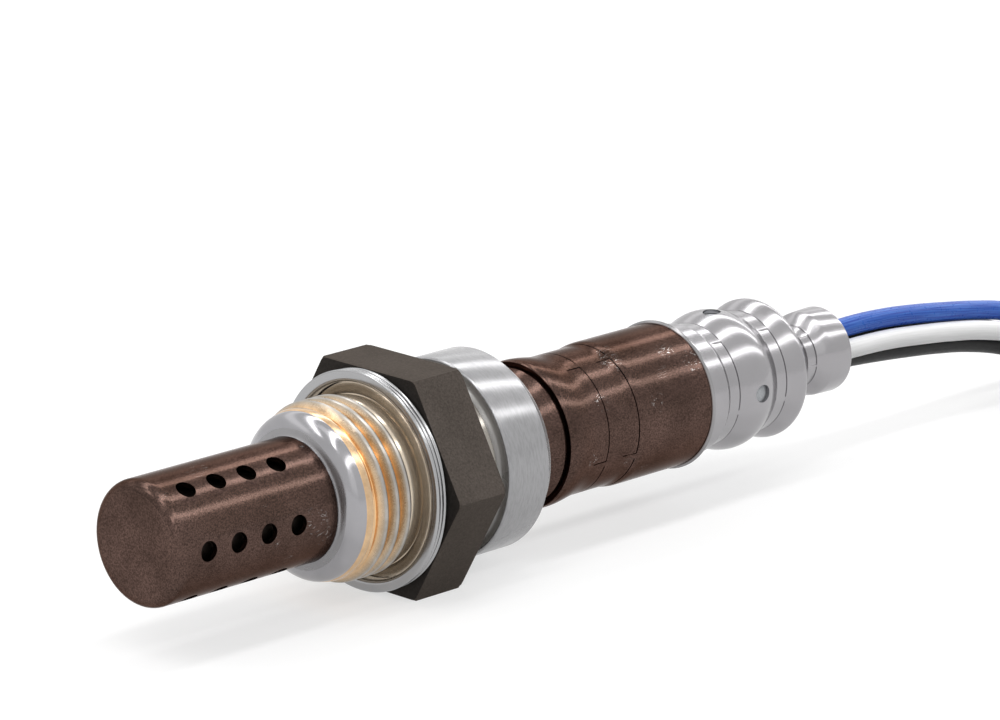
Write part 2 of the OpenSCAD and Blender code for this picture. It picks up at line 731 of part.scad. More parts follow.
// Rubber plug with one bore for each lead
module rubber_grommet() color([0.13, 0.13, 0.14]) {
    outline = [for (p = grommet_outline) if (p[0] < grommet_end) p];
    difference() {
        turned(concat(
            [[grommet_x, 0]], outline,
            [[grommet_end, outline[len(outline) - 1][1]], [grommet_end, 0]]
        ));
        for (i = [0 : 3]) at_lead(i) rod(grommet_x - cut_over, grommet_end + cut_over, lead_d + 2 * fit_gap);
    }
}

// Blade in the holder's socket, then a crimped barrel that ends on the lead
module terminal(i) {
    at_lead(i) {
        rod(barrel_x, lead_start, barrel_d);
        translate([holder_end - socket_depth + 0.3, -socket_d / 2 + 0.15, -contact_t / 2])
            cube([barrel_x - holder_end + socket_depth, socket_d - 0.3, contact_t]);
    }
}
module blue_terminal() color([0.8, 0.66, 0.4]) terminal(0);
module white_terminal() color([0.8, 0.66, 0.4]) terminal(1);
module black_terminal_low() color([0.8, 0.66, 0.4]) terminal(2);
module black_terminal_high() color([0.8, 0.66, 0.4]) terminal(3);

module blue_lead() color([0.12, 0.25, 0.65]) swept(blue_route, lead_d);
module white_lead() color([0.93, 0.93, 0.93]) swept(white_route, lead_d);
module black_lead_low() color([0.09, 0.09, 0.09]) swept(black_low_route, lead_d);
module black_lead_high() color([0.09, 0.09, 0.09]) swept(black_high_route, lead_d);

// The rest of the four leads, wound side by side and in two layers
module lead_hank() color([0.2, 0.22, 0.3])
    translate([0, 0, hank_z]) linear_extrude(hank_h) difference() {
        hank_outline(hank_outer);
        hank_outline(hank_inner);
    }

// Flat band round the middle of the hank
module hank_tie() color([0.16, 0.16, 0.17]) {
    w = 2 * (hank_outer + fit_gap);
    h = hank_h;
    translate([hank_x + hank_run / 2 - tie_w / 2, 0, hank_z + h / 2])
        rotate([0, 90, 0]) linear_extrude(tie_w) rotate(90) difference() {
            soft_rectangle(w + 2 * tie_t, h + 2 * tie_t, tie_t);
            square([w, h], center = true);
        }
}

housing();
gasket();
outer_protection_cover();
inner_protection_cover();
sensing_element();
seat_washer();
talc_packing();
ceramic_bush();
packing_ring();
heater_rod();
inner_contact();
outer_contact();
ceramic_holder();
holder_band();
inner_sleeve();
outer_sleeve();
rear_cover();
filter_sleeve();
rubber_grommet();
blue_terminal();
white_terminal();
black_terminal_low();
black_terminal_high();
blue_lead();
white_lead();
black_lead_low();
black_lead_high();
lead_hank();
hank_tie();
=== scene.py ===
# %% [markdown]
# # A heated oxygen sensor, dressed in Blender
# The imported model is the fixed frame: every node already lies where it belongs, in metres, with X along
# the sensor's axis and the origin in the gasket's sealing face. This lesson gives the nodes their finishes,
# and models again the few pieces whose look needs more than a plain solid.

import math

import bmesh
import bpy
from mathutils import Matrix, Vector
from mathutils.geometry import interpolate_bezier


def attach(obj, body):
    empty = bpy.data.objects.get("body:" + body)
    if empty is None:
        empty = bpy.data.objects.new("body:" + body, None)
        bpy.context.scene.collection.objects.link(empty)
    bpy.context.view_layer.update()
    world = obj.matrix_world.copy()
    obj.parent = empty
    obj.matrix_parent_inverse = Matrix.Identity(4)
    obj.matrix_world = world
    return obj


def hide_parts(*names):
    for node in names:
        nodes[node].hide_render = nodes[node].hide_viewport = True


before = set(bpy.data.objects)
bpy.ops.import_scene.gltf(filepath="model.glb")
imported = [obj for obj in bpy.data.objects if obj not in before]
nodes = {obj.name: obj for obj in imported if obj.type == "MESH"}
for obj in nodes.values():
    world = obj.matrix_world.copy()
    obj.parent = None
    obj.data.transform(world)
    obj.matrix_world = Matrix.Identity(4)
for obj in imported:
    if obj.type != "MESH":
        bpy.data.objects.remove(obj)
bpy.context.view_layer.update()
MM = 0.001

# %% [markdown]
# ## The camera
# The picture was taken with a long lens from the front left and a little above, so the hexagon keeps its
# shape and the tube hardly narrows. The camera could be aimed with a constraint, but its three directions
# are known, so they go straight into its matrix: right, up and backwards are the matrix's columns.

# %%
# Place the camera
camera_data = bpy.data.cameras.new("camera")
camera_data.lens = 200
camera_data.sensor_width = 36
camera_data.clip_start = 0.05
camera = bpy.data.objects.new("camera", camera_data)
bpy.context.scene.collection.objects.link(camera)
right = Vector((0.705742, -0.708469, 0.0))
up = Vector((0.193319, 0.192575, 0.962051))
back = right.cross(up)
stands_at = Vector((-0.35279, -0.370739, 0.157264))
looks_along = Matrix((right, up, back)).transposed().to_quaternion()
camera.matrix_world = Matrix.LocRotScale(stands_at, looks_along, None)
bpy.context.scene.camera = camera
print("camera:", [round(c, 3) for c in camera.location])

# %% [markdown]
# ## The leads
# Four insulated wires leave the rubber plug side by side, sag under their own weight, and go out of the
# picture. What the picture doesn't show is folded into a flat hank, with the wires beside each other in two
# layers and a band round the middle. A wire is first drawn as a smooth curve with a round bevel, because
# its length and its bends can then be read from one line. The curve is then turned into a tube of mesh,
# whose UV map runs round it and along it, so the insulation's fine lines can follow the wire. Each wire
# keeps its own lane in the hank.

# %%
# The wires' routes to the hank, in millimetres
LEAD_D = 2.1
HANK_LEFT = 131.4
HANK_RIGHT = 173.4
LOW_LAYER = -9.55
HIGH_LAYER = -7.45
BORE_STATIONS = (43.9, 50, 56, 62, 66.7)


def in_bore(y, z):
    """The straight start of a wire, from its terminal through the plug to the mouth of the rear cup."""
    return [(x, y, z) for x in BORE_STATIONS]


visible_routes = {
    "blue": in_bore(-0.3, 1.6) + [
        (71, -0.3, 1.7), (76, -0.3, 1.5), (81, -0.3, 1), (86, -0.3, 0.3), (91, -0.3, -0.5),
        (96, -0.5, -1.5), (101, -1.2, -3.1), (106, -2.6, -5.3), (111, -4.2, -7.5), (115, -5.4, -8.9),
        (118.4, -6.3, -9.5),
    ],
    "white": in_bore(-1.6, -0.3) + [
        (71, -1.6, -0.3), (76, -1.6, -0.5), (81, -1.6, -1), (86, -1.7, -1.6), (91, -1.9, -2.4),
        (96, -2.6, -3.6), (101, -4.1, -5.3), (106, -6.2, -7.2), (111, -8.3, -8.7), (116, -10.1, -9.4),
        (121.8, -11.6, -9.5),
    ],
    "black_low": in_bore(0.3, -1.6) + [
        (71, 0.3, -1.9), (76, 0.3, -2.3), (81, 0.3, -2.8), (86, 0.3, -3.4), (91, 0.2, -4.2),
        (96, -0.2, -5.4), (101, -1.4, -7.1), (106, -3.5, -8.7), (111, -5.9, -9.5), (116, -8, -9.5),
        (119.6, -9, -9.5),
    ],
    "black_high": in_bore(1.6, 0.3) + [
        (71, 1.6, 0), (76, 1.6, -0.5), (81, 1.6, -1.1), (86, 1.7, -1.8), (91, 1.9, -2.7),
        (96, 2, -4), (101, 1.7, -5.7), (106, 0.6, -7.6), (111, -1.3, -9), (114.5, -2.7, -9.5),
        (117.5, -3.7, -9.5),
    ],
}
# Each wire's lane, counted from the inside, and how much further than the fold its end reaches
lanes = {"black_high": (0, 12), "blue": (1, 0), "black_low": (2, -14), "white": (3, -27)}
print("routes:", {colour: len(route) for colour, route in visible_routes.items()})


# %%
# The wound part of one wire
def fold(centre_x, radius, z, start_deg):
    """Thirteen points of a half turn round the end of the hank."""
    angles = [math.radians(start_deg + 180 * i / 12) for i in range(13)]
    return [(centre_x + radius * math.cos(a), radius * math.sin(a), z) for a in angles]


def climb(radius):
    """The rear run of the hank, which rises from the lower layer to the upper one."""
    steps = [i / 8 for i in range(1, 8)]
    rise = HIGH_LAYER - LOW_LAYER
    return [
        (HANK_RIGHT + (HANK_LEFT - HANK_RIGHT) * t, radius, LOW_LAYER + rise * (3 * t * t - 2 * t**3))
        for t in steps
    ]


def lane_radius(lane):
    return (3 + lane) * LEAD_D


def wound(lane, extra):
    radius = lane_radius(lane)
    run = HANK_RIGHT - HANK_LEFT
    first = [(HANK_LEFT + run * t, -radius, LOW_LAYER) for t in (0, 0.25, 0.5, 0.75)]
    last = [(HANK_LEFT + (run + extra) * t, -radius, HIGH_LAYER) for t in (0.25, 0.5, 0.75, 1)]
    return (
        first
        + fold(HANK_RIGHT, radius, LOW_LAYER, -90)
        + climb(radius)
        + fold(HANK_LEFT, radius, HIGH_LAYER, 90)
        + last
    )


# %%
# One wire: a smooth curve through the route, turned into a tube of mesh
CURVE_STEPS = 6


def wire(colour):
    lane, extra = lanes[colour]
    entry_x = 128 if colour == "white" else 127
    entry = [(entry_x, 0.15 - lane_radius(lane), LOW_LAYER)]
    points = visible_routes[colour] + entry + wound(lane, extra)
    curve = bpy.data.curves.new(colour + "_line", "CURVE")
    curve.dimensions = "3D"
    curve.bevel_depth = LEAD_D / 2 * MM
    curve.bevel_resolution = 5
    curve.resolution_u = CURVE_STEPS
    curve.use_fill_caps = True
    spline = curve.splines.new("BEZIER")
    spline.bezier_points.add(len(points) - 1)
    for knot, place in zip(spline.bezier_points, points):
        knot.co = Vector(place) * MM
        knot.handle_left_type = "AUTO"
        knot.handle_right_type = "AUTO"
    line = bpy.data.objects.new(colour + "_line", curve)
    bpy.context.scene.collection.objects.link(line)
    bpy.context.view_layer.update()
    path = []
    for a, b in zip(spline.bezier_points, spline.bezier_points[1:]):
        path += interpolate_bezier(a.co, a.handle_right, b.handle_left, b.co, CURVE_STEPS + 1)[:-1]
    path.append(spline.bezier_points[-1].co.copy())
    shaped = line.evaluated_get(bpy.context.evaluated_depsgraph_get())
    mesh = bpy.data.meshes.new_from_object(shaped)
    mesh.name = colour + "_wire"
    for face in mesh.polygons:
        face.use_smooth = True
    piece = bpy.data.objects.new(colour + "_wire", mesh)
    bpy.context.scene.collection.objects.link(piece)
    bpy.data.objects.remove(line)
    print(colour, "wire:", len(points), "points,", len(mesh.polygons), "faces")
    cup_mouth = points[len(BORE_STATIONS) - 1]
    return piece, cup_mouth, path


wires = {}
for colour in visible_routes:
    piece, leaves, path = wire(colour)
    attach(piece, "root")
    stands_for = ["black_lead_" + colour[6:] if colour.startswith("black") else colour + "_lead"]
    if colour == "blue":
        stands_for.append("lead_hank")
    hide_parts(*stands_for)
    wires[colour] = piece

# %% [markdown]
# ## Tools for the finishes
# Every finish is procedural. Object coordinates are in metres and don't move with the view, so a grain that
# is a tenth of a millimetre wide needs a noise scale of several thousand. A small class keeps the node
# wiring short: each call adds one node, links its inputs and returns its output.


# %%
# A small helper for shader nodes
class Finish:
    """A material on a Principled shader, with its nodes added one call at a time."""

    def __init__(self, name, metallic, roughness, specular=0.5, edge=None):
        self.material = bpy.data.materials.new(name)
        self.material.use_nodes = True
        self.nodes = self.material.node_tree.nodes
        self.links = self.material.node_tree.links
        self.shader = self.nodes["Principled BSDF"]
        self.shader.inputs["Metallic"].default_value = metallic
        self.shader.inputs["Roughness"].default_value = roughness
        self.shader.inputs["Specular IOR Level"].default_value = specular
        if edge:
            self.shader.inputs["Specular Tint"].default_value = (*edge, 1)
        self.place = self.nodes.new("ShaderNodeTexCoord").outputs["Object"]
        self.bumped = None

    def feed(self, socket, value):
        if isinstance(value, bpy.types.NodeSocket):
            self.links.new(value, socket)
        elif value is not None:
            socket.default_value = value

    def scaled(self, scale, turn=(0, 0, 0)):
        """Object coordinates stretched by three factors."""
        node = self.nodes.new("ShaderNodeMapping")
        node.inputs["Scale"].default_value = scale
        node.inputs["Rotation"].default_value = turn
        self.feed(node.inputs["Vector"], self.place)
        return node.outputs["Vector"]

    def noise(self, scale, detail=2.0, rough=0.5, vector=None):
        node = self.nodes.new("ShaderNodeTexNoise")
        node.inputs["Scale"].default_value = scale
        node.inputs["Detail"].default_value = detail
        node.inputs["Roughness"].default_value = rough
        self.feed(node.inputs["Vector"], vector or self.place)
        return node.outputs["Fac"]

    def math(self, kind, a, b=None):
        node = self.nodes.new("ShaderNodeMath")
        node.operation = kind
        self.feed(node.inputs[0], a)
        self.feed(node.inputs[1], b)
        return node.outputs[0]

    def span(self, value, low, high, out_low=0.0, out_high=1.0):
        """Maps low to high onto another pair of values, and holds it at the ends."""
        node = self.nodes.new("ShaderNodeMapRange")
        node.clamp = True
        self.feed(node.inputs["Value"], value)
        node.inputs["From Min"].default_value = low
        node.inputs["From Max"].default_value = high
        node.inputs["To Min"].default_value = out_low
        node.inputs["To Max"].default_value = out_high
        return node.outputs["Result"]

    def colours(self, value, stops):
        """A colour ramp with the given (position, colour) stops."""
        node = self.nodes.new("ShaderNodeValToRGB")
        ramp = node.color_ramp
        for position, colour in stops[1:-1]:
            ramp.elements.new(position).color = (*colour, 1)
        ramp.elements[0].position = stops[0][0]
        ramp.elements[0].color = (*stops[0][1], 1)
        ramp.elements[-1].position = stops[-1][0]
        ramp.elements[-1].color = (*stops[-1][1], 1)
        self.feed(node.inputs["Fac"], value)
        return node.outputs["Color"]

    def mix(self, share, a, b):
        node = self.nodes.new("ShaderNodeMix")
        node.data_type = "RGBA"
        for socket, value in (("Factor", share), ("A", a), ("B", b)):
            self.feed(node.inputs[socket], (*value, 1) if isinstance(value, tuple) else value)
        return node.outputs["Result"]

    def axis_parts(self):
        """The place along the axis, the distance from it, and the direction round it."""
        split = self.nodes.new("ShaderNodeSeparateXYZ")
        self.feed(split.inputs[0], self.place)
        x, y, z = split.outputs
        flat = self.nodes.new("ShaderNodeCombineXYZ")
        self.feed(flat.inputs["Y"], y)
        self.feed(flat.inputs["Z"], z)
        length = self.nodes.new("ShaderNodeVectorMath")
        length.operation = "LENGTH"
        self.feed(length.inputs[0], flat.outputs[0])
        unit = self.nodes.new("ShaderNodeVectorMath")
        unit.operation = "NORMALIZE"
        self.feed(unit.inputs[0], flat.outputs[0])
        return x, length.outputs["Value"], unit.outputs["Vector"]

    def round_vector(self, along, around):
        """A vector for patterns that run round the axis: dense along it and slow round it."""
        x, _, direction = self.axis_parts()
        split = self.nodes.new("ShaderNodeSeparateXYZ")
        self.feed(split.inputs[0], self.times(direction, around))
        join = self.nodes.new("ShaderNodeCombineXYZ")
        self.feed(join.inputs["X"], self.math("MULTIPLY", x, along))
        self.feed(join.inputs["Y"], split.outputs["Y"])
        self.feed(join.inputs["Z"], split.outputs["Z"])
        return join.outputs[0]

    def tube_vector(self, around, along):
        """A vector for patterns on a tube whose UV runs round it in U and along it in V."""
        split = self.nodes.new("ShaderNodeSeparateXYZ")
        self.feed(split.inputs[0], self.nodes.new("ShaderNodeTexCoord").outputs["UV"])
        turn = self.math("MULTIPLY", split.outputs["X"], math.tau)
        join = self.nodes.new("ShaderNodeCombineXYZ")
        self.feed(join.inputs["X"], self.math("MULTIPLY", self.math("COSINE", turn), around))
        self.feed(join.inputs["Y"], self.math("MULTIPLY", self.math("SINE", turn), around))
        self.feed(join.inputs["Z"], self.math("MULTIPLY", split.outputs["Y"], along))
        return join.outputs[0]

    def bump(self, height, depth_mm, strength):
        """Adds relief of that depth on top of what is there."""
        node = self.nodes.new("ShaderNodeBump")
        node.inputs["Strength"].default_value = strength
        node.inputs["Distance"].default_value = depth_mm * MM
        self.feed(node.inputs["Height"], height)
        self.feed(node.inputs["Normal"], self.bumped)
        self.bumped = node.outputs["Normal"]
        self.feed(self.shader.inputs["Normal"], self.bumped)

    def times(self, colour, factor):
        """A colour made lighter or darker by a changing factor."""
        node = self.nodes.new("ShaderNodeVectorMath")
        node.operation = "SCALE"
        self.feed(node.inputs[0], colour)
        self.feed(node.inputs["Scale"], factor)
        return node.outputs[0]

    def colour(self, value):
        self.feed(self.shader.inputs["Base Color"], (*value, 1) if isinstance(value, tuple) else value)

    def rough(self, value):
        self.feed(self.shader.inputs["Roughness"], value)


# %% [markdown]
# ## The heat-tinted steel
# The cover over the sensing tip and both sleeves have turned brown in the exhaust's heat. The oxide is thin,
# so the metal still reflects, with coppery streaks along the top, and it is grainy rather than smooth.
# A metallic shader with a dark brown colour does this. One fine noise makes the grain, a wide one makes the
# tint uneven, and fine scratches and a few short nicks show the pale bare steel, as does the rear rim of the
# outer sleeve.


# %%
# Long scratches lie where a stretched noise crosses its middle, short nicks only near given places
def thin_lines(finish, pattern, width):
    near_middle = finish.math("ABSOLUTE", finish.math("SUBTRACT", pattern, 0.5))
    return finish.span(near_middle, 0.0, width, 1.0, 0.0)


def scratches(finish):
    lines = finish.noise(1.0, 0.0, 0.5, finish.scaled((300, 3400, 3400), (0.35, 0.6, 0.25)))
    patches = finish.span(finish.noise(260, 1.0), 0.675, 0.705)
    return finish.math("MULTIPLY", thin_lines(finish, lines, 0.009), patches)


def nicks(finish, radius, spots):
    """Short pale nicks near places given by the way along the axis, the turn round it and the reach."""
    curls = finish.noise(1.0, 1.0, 0.5, finish.scaled((900, 2500, 1700), (0.5, 0.2, 0.9)))
    broken = finish.span(finish.noise(2300, 1.0), 0.51, 0.55)
    near = 0.0
    for x, turn, reach in spots:
        angle = math.radians(turn)
        away = finish.nodes.new("ShaderNodeVectorMath")
        away.operation = "DISTANCE"
        finish.feed(away.inputs[0], finish.place)
        away.inputs[1].default_value = (x * MM, -radius * math.sin(angle) * MM, radius * math.cos(angle) * MM)
        part = finish.span(away.outputs["Value"], 0.5 * reach * MM, reach * MM, 1.0, 0.0)
        near = finish.math("MAXIMUM", near, part)
    pieces = finish.math("MULTIPLY", thin_lines(finish, curls, 0.028), broken)
    return finish.math("MULTIPLY", pieces, near)


# %%
# The brown finish itself, for the cover over the tip and for the two sleeves
MARK_COLOUR = (0.42, 0.4, 0.39)
RIM_COLOUR = (0.3, 0.295, 0.3)


def heat_tinted(name, base, pale, radius, spots, bare_from=None):
    finish = Finish(name, 1.0, 0.3, edge=(0.55, 0.5, 0.48))
    grain = finish.noise(6800, 1.0, 0.6)
    cloud = finish.noise(160, 3.0, 0.6)
    tint = finish.colours(cloud, [(0.3, tuple(0.78 * c for c in base)), (0.72, pale)])
    speck = finish.span(grain, 0.32, 0.68, 0.6, 1.46)
    x, _, _ = finish.axis_parts()
    behind_tip = finish.span(x, -28.2 * MM, -27.0 * MM, 0.0, 0.75)
    marks = finish.math("MAXIMUM", scratches(finish), nicks(finish, radius, spots))
    marks = finish.math("MULTIPLY", marks, behind_tip)
    surface = finish.mix(marks, finish.times(tint, speck), MARK_COLOUR)
    if bare_from is not None:
        bare = finish.span(x, (bare_from - 0.04) * MM, (bare_from + 0.04) * MM)
        surface = finish.mix(bare, surface, RIM_COLOUR)
    finish.colour(surface)
    finish.rough(finish.span(grain, 0.3, 0.7, 0.15, 0.23))
    finish.bump(grain, 0.0008, 0.6)
    finish.bump(finish.noise(1.0, 2.0, 0.5, finish.round_vector(2600, 7)), 0.0008, 0.5)
    return finish.material


TINT = ((0.074, 0.0465, 0.038), (0.094, 0.059, 0.049))
COVER_R, SLEEVE_R = 6.2, 7.4
BARE_RIM = 42.22
# Where the nicks are: station, turn round the axis in degrees, and reach
cover_spots = [(-11.3, 92, 1.7), (-10.0, 108, 1.2), (-8.9, 17, 0.6), (-16.6, 100, 0.7)]
sleeve_spots = [
    (41.2, 50, 1.7), (31.4, 28, 1.5), (27.3, 60, 1.3), (34.6, 72, 1.1), (33.6, 131, 1.0), (38.8, 33, 1.2),
    (25.4, 105, 0.9), (36.5, 215, 1.5), (29.0, 290, 1.3),
]
brown_steel = heat_tinted("brown_steel", *TINT, COVER_R, cover_spots)
sleeve_steel = heat_tinted("sleeve_steel", *TINT, SLEEVE_R, sleeve_spots, BARE_RIM)
print("made", brown_steel.name, sleeve_steel.name)

# %% [markdown]
# ## The bright and the coated metals of the body
# The body is turned from bar. Its nose is polished, the thread is coated with a gold paste against seizing,
# and the relief behind it is tinted and shiny. The hexagon is a dull dark grey, and its front face is darker
# still, which is painted shade. Behind it the waist is bright, the shoulder duller, and the collar is turned
# bright.
# A turned surface has fine lines round the axis, so its noise is dense along the axis and slow round it.


# %%
# The polished stretches: nose, relief, waist and shoulder, and the duller, darker ring at the nose's root,
# which is painted shade
def polished(name, colour, roughness, depth=0.0008, metallic=1.0):
    finish = Finish(name, metallic, roughness)
    ripple = finish.noise(1.0, 2.0, 0.5, finish.round_vector(2500, 6))
    cloud = finish.noise(420, 2.0)
    finish.colour(finish.colours(cloud, [(0.3, tuple(0.93 * c for c in colour)), (0.7, colour)]))
    finish.rough(finish.span(cloud, 0.3, 0.7, roughness * 0.85, roughness * 1.25))
    finish.bump(ripple, depth, 0.6)
    return finish.material


chrome = polished("polished_steel", (0.35, 0.345, 0.358), 0.16)
# The ring where the nose meets the tube is greyer and duller than the nose: painted shade for the dark ring
# at its root
root_painted_shade = polished("root_painted_shade", (0.31, 0.305, 0.313), 0.26, metallic=0.8)
waist_steel = polished("waist_steel", (0.36, 0.335, 0.3), 0.16, metallic=0.85)
# The relief's brown-gold tint is its own; its colour is also made lighter as painted light, against the shade
# in its recess between the thread and the gasket
relief_tint_and_painted_light = polished("relief_tint_and_painted_light", (0.68, 0.58, 0.46), 0.2, depth=0.0001, metallic=0.8)
shoulder_steel = polished("shoulder_steel", (0.3, 0.29, 0.28), 0.3, metallic=0.35)
print("made", chrome.name, root_painted_shade.name, waist_steel.name, relief_tint_and_painted_light.name, shoulder_steel.name)


# %%
# The turned collar
def turned_steel(name, colour, roughness):
    finish = Finish(name, 0.6, roughness)
    lines = finish.noise(1.0, 2.0, 0.6, finish.round_vector(5200, 11))
    soft = finish.noise(1.0, 1.0, 0.5, finish.round_vector(900, 4))
    darker = tuple(0.9 * c for c in colour)
    lighter = tuple(1.06 * c for c in colour)
    finish.colour(finish.colours(lines, [(0.34, darker), (0.62, lighter)]))
    finish.rough(finish.span(soft, 0.35, 0.65, roughness * 0.9, roughness * 1.12))
    return finish.material


collar_steel = turned_steel("turned_collar", (0.335, 0.333, 0.34), 0.21)
bevel_steel = turned_steel("turned_bevel", (0.37, 0.368, 0.373), 0.25)
print("made", collar_steel.name, bevel_steel.name)


# %%
# The gold coating on the thread, with worn bluish crests, and valleys painted lighter against the teeth's
# shade
ROOT_R, CREST_R = 8.1, 9.0


def coated_thread():
    finish = Finish("coated_thread", 1.0, 0.42)
    _, distance, _ = finish.axis_parts()
    grain = finish.noise(4200, 3.0, 0.7)
    patches = finish.noise(620, 3.0, 0.6)
    height = finish.math("ADD", distance, finish.span(patches, 0.2, 0.8, -0.05 * MM, 0.05 * MM))
    tone = finish.span(height, ROOT_R * MM, CREST_R * MM)
    # From valley to crest: gold paste in the valleys and worn bluish crests are the coating's own colours,
    # and the valleys are also painted lighter as painted light, against the shade the teeth cast in them
    coat_and_valley_light = finish.colours(tone, [
        (0.0, (0.76, 0.46, 0.22)),
        (0.45, (0.56, 0.4, 0.25)),
        (0.85, (0.39, 0.33, 0.26)),
        (0.96, (0.37, 0.35, 0.325)),
    ])
    fine = finish.span(grain, 0.25, 0.75, -0.05, 0.05)
    wide = finish.span(patches, 0.3, 0.7, 0.86, 1.14)
    finish.colour(finish.times(coat_and_valley_light, finish.math("ADD", fine, wide)))
    glossy = finish.span(grain, 0.3, 0.7, 0.19, 0.25)
    worn = finish.span(tone, 0.3, 1.0, 0.0, 0.1)
    finish.rough(finish.math("ADD", glossy, worn))
    finish.bump(finish.noise(900, 2.0), 0.02, 0.7)
    finish.bump(grain, 0.001, 0.7)
    return finish.material


thread_gold = coated_thread()
print("made", thread_gold.name)


# %%
# The dull dark grey of the hexagon, and its front face darkened as painted shade
def dull_hexagon(name, low, high):
    finish = Finish(name, 0.75, 0.55, edge=(0.4, 0.38, 0.36))
    grain = finish.noise(4600, 3.0, 0.7)
    cloud = finish.noise(210, 2.0)
    base = finish.colours(cloud, [(0.3, low), (0.7, high)])
    speck = finish.span(grain, 0.25, 0.75, 0.66, 1.36)
    finish.colour(finish.times(base, speck))
    finish.bump(grain, 0.016, 0.8)
    return finish.material


hexagon_grey = dull_hexagon("hexagon_grey", (0.06, 0.05, 0.043), (0.073, 0.061, 0.053))
# The front face's darker colour is painted shade, for the shade beside the gasket
hexagon_face_painted_shade = dull_hexagon("hexagon_face_painted_shade", (0.024, 0.021, 0.019), (0.034, 0.03, 0.027))
print("made", hexagon_grey.name, hexagon_face_painted_shade.name)

# %% [markdown]
# ## The body
# On the real sensor the body is one piece of steel: rolled nose, threaded shank, relief, hexagon, waist and
# collar. The solid carries the thread as a plain cylinder. Here one profile is spun round the axis, the
# hexagon starts from a six-sided circle whose sides are divided finely enough for the round chamfer on its
# corners, and the thread is a true helix. The helix comes from the same spin operator, which also moves the
# profile along the axis while it turns.


# %%
# Finish a bmesh as a piece of the object
def finish_piece(bm, name, materials, sharp_deg, stands_for):
    bmesh.ops.remove_doubles(bm, verts=bm.verts, dist=1e-7)
    bmesh.ops.recalc_face_normals(bm, faces=bm.faces)
    for face in bm.faces:
        face.smooth = True
    limit = math.radians(sharp_deg)
    for edge in bm.edges:
        if len(edge.link_faces) == 2:
            edge.smooth = edge.calc_face_angle(0.0) < limit
    mesh = bpy.data.meshes.new(name)
    bm.to_mesh(mesh)
    bm.free()
    for material in materials:
        mesh.materials.append(material)
    piece = bpy.data.objects.new(name, mesh)
    bpy.context.scene.collection.objects.link(piece)
    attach(piece, "root")
    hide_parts(*stands_for)
    triangles = sum(len(p.vertices) - 2 for p in mesh.polygons)
    print(name + ":", triangles, "triangles")
    return piece


# %%
# Spin a profile of (x, radius) points in millimetres round the axis
def spin_profile(bm, profile, steps=192, closed=False):
    verts = [bm.verts.new((x * MM, 0, r * MM)) for x, r in profile]
    pairs = list(zip(verts, verts[1:]))
    if closed:
        pairs.append((verts[-1], verts[0]))
    edges = [bm.edges.new(pair) for pair in pairs]
    bmesh.ops.spin(
        bm, geom=verts + edges, cent=(0, 0, 0), axis=(1, 0, 0), dvec=(0, 0, 0),
        angle=math.tau, steps=steps, use_merge=True, use_duplicate=False,
    )


def arc(x, r, size, start_deg, end_deg, count):
    """Points of a round edge about a centre, by angles that count from +X towards the outside."""
    angles = [math.radians(start_deg + (end_deg - start_deg) * i / count) for i in range(count + 1)]
    return [(x + size * math.cos(a), r + size * math.sin(a)) for a in angles]


# %%
# The profiles of the turned parts, from the nose to the rear bevel
HEX_FRONT, HEX_REAR = 1.4, 7.6
NOSE_END, NOSE_R = -6.8, 8.35
BOW_CENTRE_R, BOW_LONG, BOW_HIGH = 5.114, 1.709, 3.236
bow_angles = [math.radians(a) for a in range(55, -1, -3)]
nose_bow = [(NOSE_END - BOW_LONG * math.sin(a), BOW_CENTRE_R + BOW_HIGH * math.cos(a)) for a in bow_angles]
nose_bow.append((NOSE_END, NOSE_R))
nose_root = [(-8.55, 6.22), (-8.44, 6.226), (-8.39, 6.3), (-8.33, 6.5), (-8.27, 6.74), nose_bow[0]]
band = [(NOSE_END, NOSE_R), (-6.74, 8.4), (-6.15, 8.52), (-6.08, 8.5), (-6.0, 8.4), (-5.85, 8.0)]
shank = [(-1.6, 8.0), (-1.42, 8.5), (-1.25, 8.6)]
undercut = [(-0.9, 8.64), (-0.5, 8.66), (-0.1, 8.64), (0.14, 8.58), (0.19, 8.42), (0.36, 8.42), (0.42, 8.6)]
relief = undercut + arc(0.31, 9.69, 1.09, -80, 0, 12)
waist = [(7.45, 9.7)] + arc(8.2, 9.7, 0.6, 180, 270, 8)
collar_foot = (10.5, 9.9)
shoulder = arc(9.9, 9.7, 0.6, -90, 0, 8) + [collar_foot]
collar = arc(10.75, 9.9, 0.25, 180, 90, 4) + arc(15.9, 10.05, 0.1, 90, 50, 2)
rear_bevel = [(17.1, 9.2)] + arc(17.1, 9.1, 0.1, 50, 0, 2) + [(17.2, 6.3)]
print("profiles:", len(nose_bow), "points on the nose,", len(relief), "on the relief")

# %%
# Turned parts of the body, each stretch with its own finish
NOSE, THREAD, RELIEF, HEXAGON, WAIST, COLLAR, BEVEL, ROOT, SHOULDER, FACE = range(10)
body = bmesh.new()
stretches = [
    # The root ring carries the painted shade
    (ROOT, nose_root),
    (NOSE, nose_bow),
    (THREAD, band + shank[:2]),
    (RELIEF, shank[1:] + relief + [(HEX_FRONT, 10.4)]),
    (WAIST, waist + shoulder[:1]),
    (SHOULDER, shoulder),
    (COLLAR, [collar_foot] + collar),
    (BEVEL, [collar[-1]] + rear_bevel),
]
for finish_index, profile in stretches:
    before = set(body.faces)
    spin_profile(body, profile)
    for face in set(body.faces) - before:
        face.material_index = finish_index
print("turned parts:", len(body.faces), "faces")

# %% [markdown]
# The chamfer of a hexagon is a cone that cuts its corners. Points of the hexagon that lie further out than
# the cone are drawn in to it, which gives the curved line that the cutter leaves on each flat.


